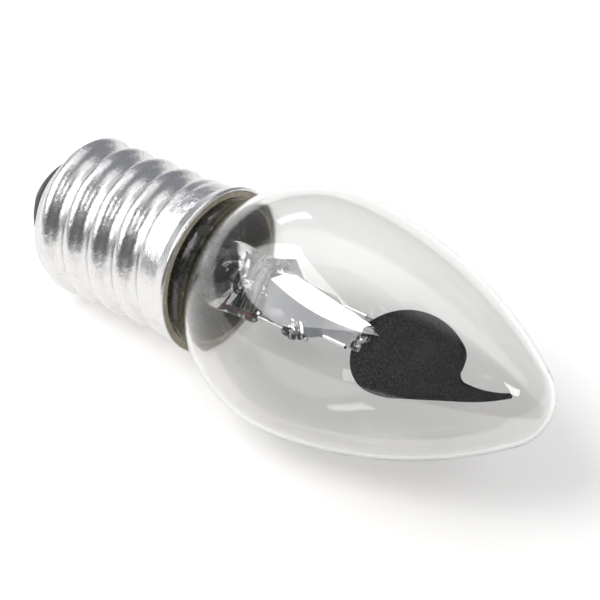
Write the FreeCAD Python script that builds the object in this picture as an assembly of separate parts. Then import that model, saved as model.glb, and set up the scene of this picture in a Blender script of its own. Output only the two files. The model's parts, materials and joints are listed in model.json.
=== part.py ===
import FreeCAD, Part
import math
import os

# A clear flicker-flame lamp with a small Edison screw cap (E14), lying on its side as it
# comes to rest: on the thread of the cap and on the widest part of the bulb.
#
# Lengths are millimetres. Every piece is made upright in the lamp's own frame: Z is the
# lamp's axis, zero at the open rim of the cap and growing towards the tip of the bulb,
# and X is the side that ends on top when the lamp lies down. The pieces that the stem
# carries are made in the mount's frame: X across the flames, Y out of their broad face.
# laid() turns and lifts each finished piece onto the floor, Z = 0, with +Z up.

# Thread of the cap, rolled in sheet
THREAD_PITCH = 2.822
THREAD_CREST_R = 6.85
THREAD_DEPTH = 0.80
THREAD_CLOCK_DEG = -32.2       # turn, from the top side, of the crest at THREAD_CREST_Z
THREAD_CREST_Z = -14.98
THREAD_END_Z = -2.5            # where the last groove has run out into the skirt
THREAD_RUNOUT = 1.4            # length over which that groove fades
THREAD_SET_BACK = 0.03         # of the crests under the plain skirt
THREAD_COLUMNS = 32            # points of the thread's surface round the cap
THREAD_ROWS_PER_TURN = 10

# Shell of the cap
SHEET = 0.25
LIP_OVERHANG = 0.48            # of the lip past the skirt
LIP_HEIGHT = 0.45
LIP_FLARE = 0.8                # length over which the skirt opens to the lip
SHOULDER_Z = -14.75            # where the shell starts to close in
SHOULDER_ARC = 0.60
SHOULDER_SLOPE_DEG = 50.0      # of the closing cone, from the axis
SHELL_END_Z = -16.9

# Insulator, contact and solder at the end of the cap
INSULATOR_TOP_Z = -15.0        # inside the shell
INSULATOR_DOME_HEIGHT = 2.05
INSULATOR_DOME_BULGE = 0.22
INSULATOR_EDGE = 0.8           # how much of the shell's edge it covers, as a share
CONTACT_R = 2.45
CONTACT_THICKNESS = 0.40
CONTACT_RECESS = 0.12
EYELET_R = 0.95
EYELET_BORE_R = 0.45
EYELET_LENGTH = 2.4
SOLDER_R = 1.75
SOLDER_HEIGHT = 0.85

# Bulb, blown in one piece; its outline is a neck and five arcs, tangent to each other
NECK_CLEARANCE = 0.30          # between the neck and the bore of the threaded shell
NECK_DEPTH = 6.2               # of the neck inside the cap
NECK_END_Z = -0.49             # where the neck starts to open
NECK_ARC = 2.28
BULB_SHOULDER_ARC = 12.38
BELLY_R = 10.52
BELLY_ARC = 23.8
BELLY_TURN_DEG = 6.8
FLANK_TURN_DEG = 34.7
TIP_ARC = 4.02
GLASS_WALL = 0.38

# Cement between the neck and the shell
CEMENT_BELOW_RIM = 0.06
CEMENT_PAST_NECK = 0.3

# Stem: a flared tube, closed by a dome and pressed flat round the seal wires
FLARE_HEIGHT = 2.3
STEM_R = 3.05
STEM_WALL = 0.62
STEM_FLATTENS_Z = 1.2
STEM_CAVITY_Z = 1.0            # where the bore starts to close
STEM_CAVITY_DOME = 1.5         # height of the closed end of the bore
PRESS_START_Z = 3.6
PRESS_END_Z = 5.3
PRESS_HALF_WIDTH = 2.85
PRESS_HALF_THICKNESS = 1.0
PRESS_ROUNDING = 0.45          # length of the rounded end of the press
PRESS_SET_IN = 0.02            # of the press under the tube, where it begins
PRESS_SHARES = (0.0, 0.12, 0.3, 0.5, 0.7, 0.88, 1.0)    # sections of the flattening tube
PRESS_END_TURNS = (0, 25, 50, 70)                       # sections of the rounded end
OVAL_POINTS = 16
EXHAUST_R = 1.15
EXHAUST_BORE_R = 0.65
EXHAUST_BELOW_NECK = 3.2       # to where the tube starts to close
EXHAUST_HOLE_R = 0.40
EXHAUST_HOLE_RISE = 0.22       # of the hole through the dome, for each mm outwards

# Seal wires, outer leads and resistor
UPPER_SPREAD = 1.90            # of the seal wires from the axis
LOWER_SPREAD = 2.20
SEAL_WIRE_R = 0.16
SEAL_WIRE_START_Z = -0.5
UPPER_WIRE_END_Z = 8.4
LOWER_WIRE_END_Z = 10.6
WIRE_BAR_R = 0.22              # of the thicker bar that the lower wire carries
WIRE_BAR_START = 0.05          # of that bar past the press
LEAD_R = 0.20
SIDE_LEAD_R = 0.13
LEAD_BEND = 0.5
RESISTOR_R = 1.10
RESISTOR_OFFSET = 3.3          # of its middle from the axis
RESISTOR_BELOW_NECK = 1.4
RESISTOR_ABOVE_INSULATOR = 1.8
RESISTOR_CAP_LENGTH = 1.2      # of each bulged end
RESISTOR_WAIST = 0.12          # of the body under the bulged ends
SIDE_LEAD_BELOW_NECK = 0.55    # where the side lead turns outwards

# Weld of the side lead, on the skirt
SIDE_WELD_Z = -1.95
SIDE_WELD_DEG = 2.0            # from the top side, round the cap
SIDE_WELD_R = 0.95
SIDE_WELD_HEIGHT = 0.28
SIDE_HOLE_R = 0.25

# Shanks and flames, a set on each face of the mount. A shank's outline is (across, along)
# corners, its seal wire on the side below zero; the rear shank's foot has a wider tab.
MOUNT_CLOCK_DEG = -48.3        # of the flames' width, from the top side as the lamp lies
PLATE = 0.20
FLAME_GAP = 0.70
SHANK_TOP_Z = 16.1
SHANK_OUTER = 1.45
SHANK_FOOT_OUTER = 1.95
SHANK_INNER_EDGE = ((1.11, 5.41), (2.01, 6.68), (2.18, 7.65), (0.98, SHANK_TOP_Z))
SHANK_OUTER_EDGE = ((-SHANK_OUTER, SHANK_TOP_Z), (-SHANK_OUTER, 12.25), (-SHANK_FOOT_OUTER, 11.30))
FRONT_FOOT = ((-SHANK_FOOT_OUTER, 6.20),)
REAR_FOOT = ((-SHANK_FOOT_OUTER, 7.90), (-2.45, 7.52), (-3.44, 6.29), (-2.83, 4.42), (-SHANK_FOOT_OUTER, 5.80))
SHANK_ROLL_R = 0.22            # of the rolled part of the outer edge
SHANK_ROLL_START_Z = 12.4
SHANK_ROLL_END_Z = 14.7

# Welds: each bead has its place across, its place along and its radius. Those on a seal
# wire are measured from the wire and from the lamp's rim, those on a flame from the axis
# and from the shank's top.
FRONT_SEAL_WELDS = ((-0.05, 8.60, 0.45), (0.0, 9.30, 0.62), (0.08, 9.95, 0.46))
REAR_SEAL_WELDS = ((0.0, 7.60, 0.40), (0.05, 8.10, 0.34))
FLAME_WELDS = ((-1.05, -0.55, 0.50), (-0.45, -0.15, 0.62), (0.35, 0.05, 0.60))
FLAME_WELD_SINK = 0.1          # of each bead under the flame's face, as a share of its radius
REAR_FLAME_SLIDE = -0.6        # towards the cap
REAR_FLAME_TURN_DEG = -3.2     # about the flame's tip

# Flame outline: arcs from point to point, each a (across, along) way point and end point,
# and a straight edge where there is no way point; along is measured from the base
FLAME_BASE_Z = 15.2
FLAME_TIP = (0.12, 15.25)
FLAME_ARCS = (
    ((-0.70, 13.75), (-1.60, 11.60)),
    (None, (-3.70, 5.30)),
    ((-3.98, 4.10), (-4.05, 3.00)),
    ((-3.17, 0.88), (-1.05, 0.00)),
    (None, (-0.40, 0.15)),
    ((2.93, 4.30), (1.98, 9.60)),
    ((1.32, 10.08), (0.45, 10.15)),
    ((-0.28, 10.42), (-0.50, 11.15)),
    ((-0.28, 13.05), (0.33, 14.90)),
    ((0.36, 15.18), FLAME_TIP),
)

Z_AXIS = FreeCAD.Vector(0, 0, 1)
ORIGIN = FreeCAD.Vector(0, 0, 0)

SKIRT_R = THREAD_CREST_R + THREAD_SET_BACK
SKIRT_BORE_R = SKIRT_R - SHEET
SHELL_BORE_R = THREAD_CREST_R - THREAD_DEPTH - SHEET
LIP_R = SKIRT_R + LIP_OVERHANG
NECK_R = SHELL_BORE_R - NECK_CLEARANCE
EXHAUST_END_Z = -NECK_DEPTH - EXHAUST_BELOW_NECK
RESISTOR_TOP_Z = -NECK_DEPTH - RESISTOR_BELOW_NECK
RESISTOR_LOW_Z = INSULATOR_TOP_Z + RESISTOR_ABOVE_INSULATOR
SIDE_LEAD_LOW_Z = -NECK_DEPTH - SIDE_LEAD_BELOW_NECK
MOUNT_FACE_Y = FLAME_GAP / 2 + PLATE


def vec(x, y, z):
    return FreeCAD.Vector(x, y, z)


def polar(radius, degrees, z):
    angle = math.radians(degrees)
    return vec(radius * math.cos(angle), radius * math.sin(angle), z)


def line(start, end):
    return Part.LineSegment(start, end).toShape()


def profile_point(radius, z):
    return vec(radius, 0, z)


def profile_arc(centre_r, centre_z, radius, start, end):
    # An arc of a turned piece's outline, between two angles from the X direction.
    def point(angle):
        return profile_point(centre_r + radius * math.cos(angle), centre_z + radius * math.sin(angle))
    return Part.Arc(point(start), point((start + end) / 2), point(end)).toShape()


def turned(edges):
    # A solid of revolution from the edges of a closed outline, in any order.
    face = Part.Face(Part.Wire(Part.sortEdges(edges)[0]))
    return face.revolve(ORIGIN, Z_AXIS, 360)


def turned_corners(corners):
    # A solid of revolution from straight edges between (radius, z) corners.
    points = [profile_point(r, z) for r, z in corners]
    return turned([line(a, b) for a, b in zip(points, points[1:] + points[:1])])


def wire_along(points, radius, bend):
    # A round wire along straight runs joined by tangent arcs.
    edges = []
    start = points[0]
    for before, corner, after in zip(points, points[1:], points[2:]):
        back = (before - corner).normalize()
        ahead = (after - corner).normalize()
        half_angle = back.getAngle(ahead) / 2
        reach = bend / math.tan(half_angle)
        middle = (back + ahead).normalize()
        centre = corner + middle * (bend / math.sin(half_angle))
        arc_start = corner + back * reach
        arc_end = corner + ahead * reach
        edges.append(line(start, arc_start))
        edges.append(Part.Arc(arc_start, centre - middle * bend, arc_end).toShape())
        start = arc_end
    edges.append(line(start, points[-1]))
    section = Part.Wire(Part.makeCircle(radius, points[0], points[1] - points[0]))
    return Part.Wire(edges).makePipeShell([section], True, False)


def in_lamp(point):
    # A point of the mount's frame, in the lamp's own frame.
    return FreeCAD.Rotation(Z_AXIS, MOUNT_CLOCK_DEG).multVec(point)


def in_lamp_shape(shape):
    return shape.transformed(FreeCAD.Placement(ORIGIN, FreeCAD.Rotation(Z_AXIS, MOUNT_CLOCK_DEG)).Matrix)


def thread_sink(z, degrees):
    # How far the knuckle thread lies under its crests: two equal arcs a pitch, with the
    # crest climbing one pitch a turn, to the right.
    crest_z = THREAD_CREST_Z + THREAD_PITCH * (degrees - THREAD_CLOCK_DEG) / 360
    turns = (z - crest_z) / THREAD_PITCH
    away = abs(turns - round(turns)) * THREAD_PITCH
    half = THREAD_PITCH / 2
    radius = half / (2 * math.sin(2 * math.atan(THREAD_DEPTH / half)))
    if away <= half / 2:
        return radius - math.sqrt(radius ** 2 - away ** 2)
    return THREAD_DEPTH - radius + math.sqrt(radius ** 2 - (half - away) ** 2)


def groove_strength(z):
    # One along the thread, falling smoothly to nothing where it runs out.
    share = min(1.0, max(0.0, (THREAD_END_Z - z) / THREAD_RUNOUT))
    return share * share * (3 - 2 * share)


def thread_section(z):
    strength = groove_strength(z)
    lift = 3 * THREAD_SET_BACK * (1 - strength)
    points = []
    for column in range(THREAD_COLUMNS):
        degrees = 360 * column / THREAD_COLUMNS
        radius = THREAD_CREST_R + lift - strength * thread_sink(z, degrees)
        points.append(polar(radius, degrees, z))
    curve = Part.BSplineCurve()
    curve.interpolate(Points=points, PeriodicFlag=True,
                      Parameters=[float(k) for k in range(THREAD_COLUMNS + 1)])
    return Part.Wire(curve.toShape())


def thread_cutter():
    # A ring round the shell whose inside is the threaded surface.
    low = SHELL_END_Z - SHEET
    length = THREAD_END_Z - low
    rows = round(THREAD_ROWS_PER_TURN * length / THREAD_PITCH)
    core = Part.makeLoft([thread_section(low + length * i / rows) for i in range(rows + 1)], True)
    return Part.makeCylinder(LIP_R, length, vec(0, 0, low)).cut(core)


def shoulder_lines(inset):
    # The shell's closing end, from its arc to its edge; inset is the depth under the outside.
    slope = math.radians(SHOULDER_SLOPE_DEG)
    centre_r = SKIRT_R - SHOULDER_ARC
    arc = profile_arc(centre_r, SHOULDER_Z, SHOULDER_ARC - inset, -slope, 0)
    start = profile_point(centre_r + (SHOULDER_ARC - inset) * math.cos(slope),
                          SHOULDER_Z - (SHOULDER_ARC - inset) * math.sin(slope))
    outer_start_z = SHOULDER_Z - SHOULDER_ARC * math.sin(slope)
    length = (outer_start_z - SHELL_END_Z) / math.cos(slope)
    end = start + vec(-math.sin(slope), 0, -math.cos(slope)) * length
    return arc, start, end


def shell_bore_meets_cone():
    # Where the shell's straight bore reaches its closing cone.
    _, start, end = shoulder_lines(SHEET)
    share = (start.x - SHELL_BORE_R) / (start.x - end.x)
    return start + (end - start) * share


def lip_middle_r():
    return LIP_R - LIP_HEIGHT / 2


def mouth_r(z):
    # Radius of the shell's inside where it opens to the lip.
    start_z = -LIP_HEIGHT - LIP_FLARE
    return SKIRT_BORE_R + (lip_middle_r() - SKIRT_BORE_R) * (z - start_z) / -start_z


def screw_shell():
    arc, cone_start, cone_end = shoulder_lines(0)
    _, _, inner_end = shoulder_lines(SHEET)
    bore_corner = shell_bore_meets_cone()
    step_z = THREAD_END_Z
    lip_top = profile_point(lip_middle_r(), 0)
    lip_low = profile_point(lip_middle_r(), -LIP_HEIGHT)
    flare_end = profile_point(SKIRT_R, -LIP_HEIGHT - LIP_FLARE)
    outline = [
        Part.Arc(lip_top, profile_point(LIP_R, -LIP_HEIGHT / 2), lip_low).toShape(),
        line(lip_low, flare_end),
        line(flare_end, profile_point(SKIRT_R, SHOULDER_Z)),
        arc,
        line(cone_start, cone_end),
        line(cone_end, inner_end),
        line(inner_end, bore_corner),
        line(bore_corner, profile_point(SHELL_BORE_R, step_z - SHEET)),
        line(profile_point(SHELL_BORE_R, step_z - SHEET), profile_point(SKIRT_BORE_R, step_z)),
        line(profile_point(SKIRT_BORE_R, step_z), profile_point(SKIRT_BORE_R, flare_end.z)),
        line(profile_point(SKIRT_BORE_R, flare_end.z), lip_top),
    ]
    hole = Part.makeCylinder(SIDE_HOLE_R, LIP_R - NECK_R, polar(NECK_R, SIDE_WELD_DEG, SIDE_WELD_Z),
                             polar(1, SIDE_WELD_DEG, 0))
    return turned(outline).cut(thread_cutter()).cut(hole)


def insulator():
    _, _, inner_end = shoulder_lines(SHEET)
    _, _, outer_end = shoulder_lines(0)
    edge = inner_end + (outer_end - inner_end) * INSULATOR_EDGE
    bore_corner = shell_bore_meets_cone()
    base_z = outer_end.z - INSULATOR_DOME_HEIGHT
    base = profile_point(CONTACT_R + CONTACT_RECESS, base_z)
    middle = (edge + base) * 0.5 + vec(1, 0, -1).normalize() * INSULATOR_DOME_BULGE
    recess_z = base_z + CONTACT_RECESS
    seat_z = recess_z
    outline = [
        line(profile_point(EYELET_R, INSULATOR_TOP_Z), profile_point(SHELL_BORE_R, INSULATOR_TOP_Z)),
        line(profile_point(SHELL_BORE_R, INSULATOR_TOP_Z), bore_corner),
        line(bore_corner, inner_end),
        line(inner_end, edge),
        Part.Arc(edge, middle, base).toShape(),
        line(base, profile_point(CONTACT_R, base_z)),
        line(profile_point(CONTACT_R, base_z), profile_point(CONTACT_R, seat_z)),
        line(profile_point(CONTACT_R, seat_z), profile_point(EYELET_R, seat_z)),
        line(profile_point(EYELET_R, seat_z), profile_point(EYELET_R, INSULATOR_TOP_Z)),
    ]
    return turned(outline)


def contact_seat_z():
    _, _, outer_end = shoulder_lines(0)
    return outer_end.z - INSULATOR_DOME_HEIGHT + CONTACT_RECESS


def centre_contact():
    # A plate with an eyelet that stands in the insulator.
    seat_z = contact_seat_z()
    return turned_corners([
        (EYELET_BORE_R, seat_z - CONTACT_THICKNESS),
        (CONTACT_R, seat_z - CONTACT_THICKNESS),
        (CONTACT_R, seat_z),
        (EYELET_R, seat_z),
        (EYELET_R, seat_z + EYELET_LENGTH),
        (EYELET_BORE_R, seat_z + EYELET_LENGTH),
    ])


def contact_solder():
    # A low dome on the contact plate.
    face_z = contact_seat_z() - CONTACT_THICKNESS
    tip = profile_point(0, face_z - SOLDER_HEIGHT)
    rim = profile_point(SOLDER_R, face_z)
    ball = (SOLDER_R ** 2 + SOLDER_HEIGHT ** 2) / (2 * SOLDER_HEIGHT)
    half_way = math.asin(SOLDER_R / ball) / 2
    centre_z = tip.z + ball
    middle = profile_point(ball * math.sin(half_way), centre_z - ball * math.cos(half_way))
    return turned([
        Part.Arc(tip, middle, rim).toShape(),
        line(rim, profile_point(0, face_z)),
        line(profile_point(0, face_z), tip),
    ])


def neck_turn():
    return math.acos(1 - (BELLY_R - NECK_R) / (BULB_SHOULDER_ARC + NECK_ARC))


def belly_z():
    return NECK_END_Z + (BULB_SHOULDER_ARC + NECK_ARC) * math.sin(neck_turn())


def flank_arc():
    belly = math.radians(BELLY_TURN_DEG)
    flank = math.radians(FLANK_TURN_DEG)
    reach = BELLY_R - BELLY_ARC * (1 - math.cos(belly)) - TIP_ARC * math.cos(flank)
    return reach / (math.cos(belly) - math.cos(flank))


def tip_centre_z():
    belly = math.radians(BELLY_TURN_DEG)
    flank = math.radians(FLANK_TURN_DEG)
    rise = BELLY_ARC * math.sin(belly) + flank_arc() * (math.sin(flank) - math.sin(belly))
    return belly_z() + rise - TIP_ARC * math.sin(flank)


def bulb_outline(inset):
    # The neck and the five arcs; inset is the depth under the outside of the glass.
    turn = neck_turn()
    belly = math.radians(BELLY_TURN_DEG)
    flank = math.radians(FLANK_TURN_DEG)
    spread = flank_arc() - BELLY_ARC
    flank_r = BELLY_R - BELLY_ARC - spread * math.cos(belly)
    flank_z = belly_z() - spread * math.sin(belly)
    neck_r = NECK_R - inset
    return [
        line(profile_point(neck_r, -NECK_DEPTH), profile_point(neck_r, NECK_END_Z)),
        profile_arc(NECK_R + NECK_ARC, NECK_END_Z, NECK_ARC + inset, math.pi, math.pi - turn),
        profile_arc(BELLY_R - BULB_SHOULDER_ARC, belly_z(), BULB_SHOULDER_ARC - inset, -turn, 0),
        profile_arc(BELLY_R - BELLY_ARC, belly_z(), BELLY_ARC - inset, 0, belly),
        profile_arc(flank_r, flank_z, flank_arc() - inset, belly, flank),
        profile_arc(0, tip_centre_z(), TIP_ARC - inset, flank, math.pi / 2),
    ]


def glass_bulb():
    tip_z = tip_centre_z() + TIP_ARC
    rim = line(profile_point(NECK_R - GLASS_WALL, -NECK_DEPTH), profile_point(NECK_R, -NECK_DEPTH))
    tip = line(profile_point(0, tip_z - GLASS_WALL), profile_point(0, tip_z))
    return turned(bulb_outline(0) + bulb_outline(GLASS_WALL) + [rim, tip])


def stem_ceiling():
    # Centre height and radius of the ball that closes the stem's bore.
    bore = STEM_R - STEM_WALL
    ball = (bore ** 2 + STEM_CAVITY_DOME ** 2) / (2 * STEM_CAVITY_DOME)
    return STEM_CAVITY_Z + STEM_CAVITY_DOME - ball, ball


def stem_flare():
    # Arc of the flare and the height of its upper end, for a rim that ends with the neck.
    reach = NECK_R - GLASS_WALL - STEM_R
    arc = (FLARE_HEIGHT ** 2 + reach ** 2) / (2 * reach)
    inner_arc = arc + STEM_WALL
    inner_turn = math.acos((arc - reach) / inner_arc)
    return arc, inner_arc * math.sin(inner_turn) - NECK_DEPTH, inner_turn


def stem_outside():
    arc, tube_z, _ = stem_flare()
    rim_r = NECK_R - GLASS_WALL
    axis_low = profile_point(0, -NECK_DEPTH)
    axis_high = profile_point(0, STEM_FLATTENS_Z)
    tube_low = profile_point(STEM_R, tube_z)
    tube_high = profile_point(STEM_R, STEM_FLATTENS_Z)
    rim_low = profile_point(rim_r, -NECK_DEPTH)
    rim_high = profile_point(rim_r, tube_z - FLARE_HEIGHT)
    return turned([
        line(axis_low, rim_low),
        line(rim_low, rim_high),
        profile_arc(STEM_R + arc, tube_z, arc, math.pi, math.pi + math.asin(FLARE_HEIGHT / arc)),
        line(tube_low, tube_high),
        line(tube_high, axis_high),
        line(axis_high, axis_low),
    ])


def stem_cavity():
    arc, tube_z, inner_turn = stem_flare()
    inner_arc = arc + STEM_WALL
    bore = STEM_R - STEM_WALL
    ball_z, ball = stem_ceiling()
    axis_low = profile_point(0, -NECK_DEPTH)
    top = profile_point(0, ball_z + ball)
    return turned([
        line(axis_low, profile_point(NECK_R - GLASS_WALL, -NECK_DEPTH)),
        profile_arc(STEM_R + arc, tube_z, inner_arc, math.pi, math.pi + inner_turn),
        line(profile_point(bore, tube_z), profile_point(bore, STEM_CAVITY_Z)),
        profile_arc(0, ball_z, ball, math.asin((STEM_CAVITY_Z - ball_z) / ball), math.pi / 2),
        line(top, axis_low),
    ])


def wire_x(side):
    return UPPER_SPREAD if side > 0 else -LOWER_SPREAD


def ellipse_section(half_width, half_thickness, z):
    points = []
    for step in range(OVAL_POINTS):
        angle = 2 * math.pi * step / OVAL_POINTS
        points.append(vec(half_width * math.cos(angle), half_thickness * math.sin(angle), z))
    curve = Part.BSplineCurve()
    curve.interpolate(Points=points, PeriodicFlag=True,
                      Parameters=[float(k) for k in range(OVAL_POINTS + 1)])
    return Part.Wire(curve.toShape())


def stem_press():
    # The round tube pressed into a flat blade, with a rounded end.
    length = PRESS_START_Z - STEM_FLATTENS_Z
    sections = []
    start_r = STEM_R - PRESS_SET_IN
    for share in PRESS_SHARES:
        blend = share * share * (3 - 2 * share)
        width = start_r + (PRESS_HALF_WIDTH - start_r) * blend
        thickness = start_r + (PRESS_HALF_THICKNESS - start_r) * blend
        sections.append(ellipse_section(width, thickness, STEM_FLATTENS_Z + length * share))
    blade_z = PRESS_END_Z - PRESS_ROUNDING
    sections.append(ellipse_section(PRESS_HALF_WIDTH, PRESS_HALF_THICKNESS, (PRESS_START_Z + blade_z) / 2))
    for angle in PRESS_END_TURNS:
        sink = PRESS_ROUNDING * (1 - math.cos(math.radians(angle)))
        full = math.sin(math.radians(PRESS_END_TURNS[-1]))
        rise = PRESS_ROUNDING * math.sin(math.radians(angle)) / full
        sections.append(ellipse_section(PRESS_HALF_WIDTH - sink, PRESS_HALF_THICKNESS - sink, blade_z + rise))
    return Part.makeLoft(sections, True)


def stem():
    # The seal wires pass through the blade, and the exhaust hole opens below it.
    ball_z, ball = stem_ceiling()
    glass = stem_outside().fuse(stem_press()).cut(stem_cavity())
    for side in (-1, 1):
        glass = glass.cut(Part.makeCylinder(SEAL_WIRE_R, PRESS_END_Z - SEAL_WIRE_START_Z,
                                            vec(wire_x(side), 0, SEAL_WIRE_START_Z)))
    hole_start = vec(0, EXHAUST_BORE_R / 2, ball_z + ball)
    hole = Part.makeCylinder(EXHAUST_HOLE_R, 2 * STEM_R, hole_start, vec(0, -1, EXHAUST_HOLE_RISE))
    return glass.cut(hole)


def exhaust_tube():
    # Open into the dome of the stem, and sealed off at its lower end.
    ball_z, ball = stem_ceiling()
    bore_top = profile_point(EXHAUST_BORE_R, ball_z + math.sqrt(ball ** 2 - EXHAUST_BORE_R ** 2))
    wall_top = profile_point(EXHAUST_R, ball_z + math.sqrt(ball ** 2 - EXHAUST_R ** 2))
    return turned([
        profile_arc(0, ball_z, ball, math.acos(EXHAUST_R / ball), math.acos(EXHAUST_BORE_R / ball)),
        line(wall_top, profile_point(EXHAUST_R, EXHAUST_END_Z)),
        profile_arc(0, EXHAUST_END_Z, EXHAUST_R, -math.pi / 2, 0),
        line(profile_point(0, EXHAUST_END_Z - EXHAUST_R), profile_point(0, EXHAUST_END_Z - EXHAUST_BORE_R)),
        profile_arc(0, EXHAUST_END_Z, EXHAUST_BORE_R, -math.pi / 2, 0),
        line(profile_point(EXHAUST_BORE_R, EXHAUST_END_Z), bore_top),
    ])


def seal_wire(side):
    # A thin wire through the press; past it, the lower one goes on as a thicker bar.
    if side > 0:
        return Part.makeCylinder(SEAL_WIRE_R, UPPER_WIRE_END_Z - SEAL_WIRE_START_Z,
                                 vec(wire_x(side), 0, SEAL_WIRE_START_Z))
    bar_z = PRESS_END_Z + WIRE_BAR_START
    wire = Part.makeCylinder(SEAL_WIRE_R, bar_z - SEAL_WIRE_START_Z, vec(wire_x(side), 0, SEAL_WIRE_START_Z))
    bar = Part.makeCylinder(WIRE_BAR_R, LOWER_WIRE_END_Z - bar_z, vec(wire_x(side), 0, bar_z))
    return wire.fuse(bar)


def lead_to_resistor():
    top_z = RESISTOR_TOP_Z
    bend_z = top_z + 2 * LEAD_BEND
    shift = RESISTOR_OFFSET - LOWER_SPREAD
    return wire_along([
        vec(-LOWER_SPREAD, 0, SEAL_WIRE_START_Z),
        vec(-LOWER_SPREAD, 0, bend_z + shift),
        vec(-RESISTOR_OFFSET, 0, bend_z),
        vec(-RESISTOR_OFFSET, 0, top_z),
    ], LEAD_R, LEAD_BEND)


def ballast_resistor():
    waist = RESISTOR_R - RESISTOR_WAIST
    low = RESISTOR_LOW_Z
    body = turned_corners([
        (0, low),
        (waist, low),
        (RESISTOR_R, low + RESISTOR_WAIST),
        (RESISTOR_R, low + RESISTOR_CAP_LENGTH),
        (waist, low + RESISTOR_CAP_LENGTH + RESISTOR_WAIST),
        (waist, RESISTOR_TOP_Z - RESISTOR_CAP_LENGTH - RESISTOR_WAIST),
        (RESISTOR_R, RESISTOR_TOP_Z - RESISTOR_CAP_LENGTH),
        (RESISTOR_R, RESISTOR_TOP_Z - RESISTOR_WAIST),
        (waist, RESISTOR_TOP_Z),
        (0, RESISTOR_TOP_Z),
    ])
    body.translate(vec(-RESISTOR_OFFSET, 0, 0))
    return body


def lead_to_contact():
    top_z = RESISTOR_LOW_Z
    bend_z = top_z - 2 * LEAD_BEND
    return wire_along([
        vec(-RESISTOR_OFFSET, 0, top_z),
        vec(-RESISTOR_OFFSET, 0, bend_z),
        vec(0, 0, bend_z - LEAD_BEND),
        vec(0, 0, contact_seat_z() - CONTACT_THICKNESS),
    ], LEAD_R, LEAD_BEND)


def lead_to_shell():
    # Under the neck, up between the neck and the shell, and out through the skirt.
    gap_r = (NECK_R + SHELL_BORE_R) / 2
    start = in_lamp(vec(UPPER_SPREAD, 0, SEAL_WIRE_START_Z))
    return wire_along([
        start,
        vec(start.x, start.y, SIDE_LEAD_LOW_Z),
        polar(gap_r, SIDE_WELD_DEG, SIDE_LEAD_LOW_Z),
        polar(gap_r, SIDE_WELD_DEG, SIDE_WELD_Z),
        polar(SKIRT_R, SIDE_WELD_DEG, SIDE_WELD_Z),
    ], SIDE_LEAD_R, LEAD_BEND)


def side_weld():
    ball = (SIDE_WELD_R ** 2 + SIDE_WELD_HEIGHT ** 2) / (2 * SIDE_WELD_HEIGHT)
    centre = polar(SKIRT_R + SIDE_WELD_HEIGHT - ball, SIDE_WELD_DEG, SIDE_WELD_Z)
    skirt = Part.makeCylinder(SKIRT_R, 4 * ball, vec(0, 0, SIDE_WELD_Z - 2 * ball))
    return Part.makeSphere(ball, centre).cut(skirt).cut(screw_shell()).cut(lead_to_shell())


def capping_cement():
    step_z = THREAD_END_Z
    ring = turned_corners([
        (NECK_R, -NECK_DEPTH - CEMENT_PAST_NECK),
        (SHELL_BORE_R, -NECK_DEPTH - CEMENT_PAST_NECK),
        (SHELL_BORE_R, step_z - SHEET),
        (SKIRT_BORE_R, step_z),
        (SKIRT_BORE_R, -LIP_HEIGHT - LIP_FLARE),
        (mouth_r(-CEMENT_BELOW_RIM), -CEMENT_BELOW_RIM),
        (NECK_R, -CEMENT_BELOW_RIM),
    ])
    return ring.cut(glass_bulb()).cut(lead_to_shell())


def flat_piece(corners, low_y):
    # A plate from an outline of (across, along) corners, its lower face at low_y.
    points = [vec(x, low_y, z) for x, z in corners]
    edges = [line(a, b) for a, b in zip(points, points[1:] + points[:1])]
    return Part.Face(Part.Wire(edges)).extrude(vec(0, PLATE, 0))


def on_side(shape, side):
    # The front face's piece as it is, or turned about the axis to serve the rear face.
    if side > 0:
        return shape
    return shape.transformed(FreeCAD.Placement(ORIGIN, FreeCAD.Rotation(Z_AXIS, 180)).Matrix)


def shank(side):
    # A flat plate, part of its outer edge rolled into a bar.
    foot = FRONT_FOOT if side > 0 else REAR_FOOT
    plate = flat_piece(SHANK_INNER_EDGE + SHANK_OUTER_EDGE + foot, MOUNT_FACE_Y)
    roll = Part.makeCylinder(SHANK_ROLL_R, SHANK_ROLL_END_Z - SHANK_ROLL_START_Z,
                             vec(-SHANK_OUTER, MOUNT_FACE_Y + PLATE / 2, SHANK_ROLL_START_Z))
    return on_side(plate.fuse(roll), side)


def seal_weld(side):
    # A knot that joins the seal wire and the edge of the shank's foot.
    welds = FRONT_SEAL_WELDS if side > 0 else REAR_SEAL_WELDS
    beads = []
    for across, along, radius in welds:
        beads.append(Part.makeSphere(radius, vec(across - abs(wire_x(-side)), MOUNT_FACE_Y / 2, along)))
    knot = beads[0].multiFuse(beads[1:]).removeSplitter()
    return on_side(knot, side).cut(seal_wire(-side)).cut(shank(side))


def flame_outline(low_y):
    start = vec(FLAME_TIP[0], low_y, FLAME_BASE_Z + FLAME_TIP[1])
    edges = []
    for way, end in FLAME_ARCS:
        target = vec(end[0], low_y, FLAME_BASE_Z + end[1])
        if way is None:
            edges.append(line(start, target))
        else:
            middle = vec(way[0], low_y, FLAME_BASE_Z + way[1])
            edges.append(Part.Arc(start, middle, target).toShape())
        start = target
    return Part.Wire(edges)


def flame(side):
    low_y = FLAME_GAP / 2 if side > 0 else -FLAME_GAP / 2 - PLATE
    plate = Part.Face(flame_outline(low_y)).extrude(vec(0, PLATE, 0))
    if side < 0:
        tip = vec(FLAME_TIP[0], low_y, FLAME_BASE_Z + FLAME_TIP[1])
        plate.rotate(tip, vec(0, 1, 0), REAR_FLAME_TURN_DEG)
        plate.translate(vec(0, 0, REAR_FLAME_SLIDE))
    return plate


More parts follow.
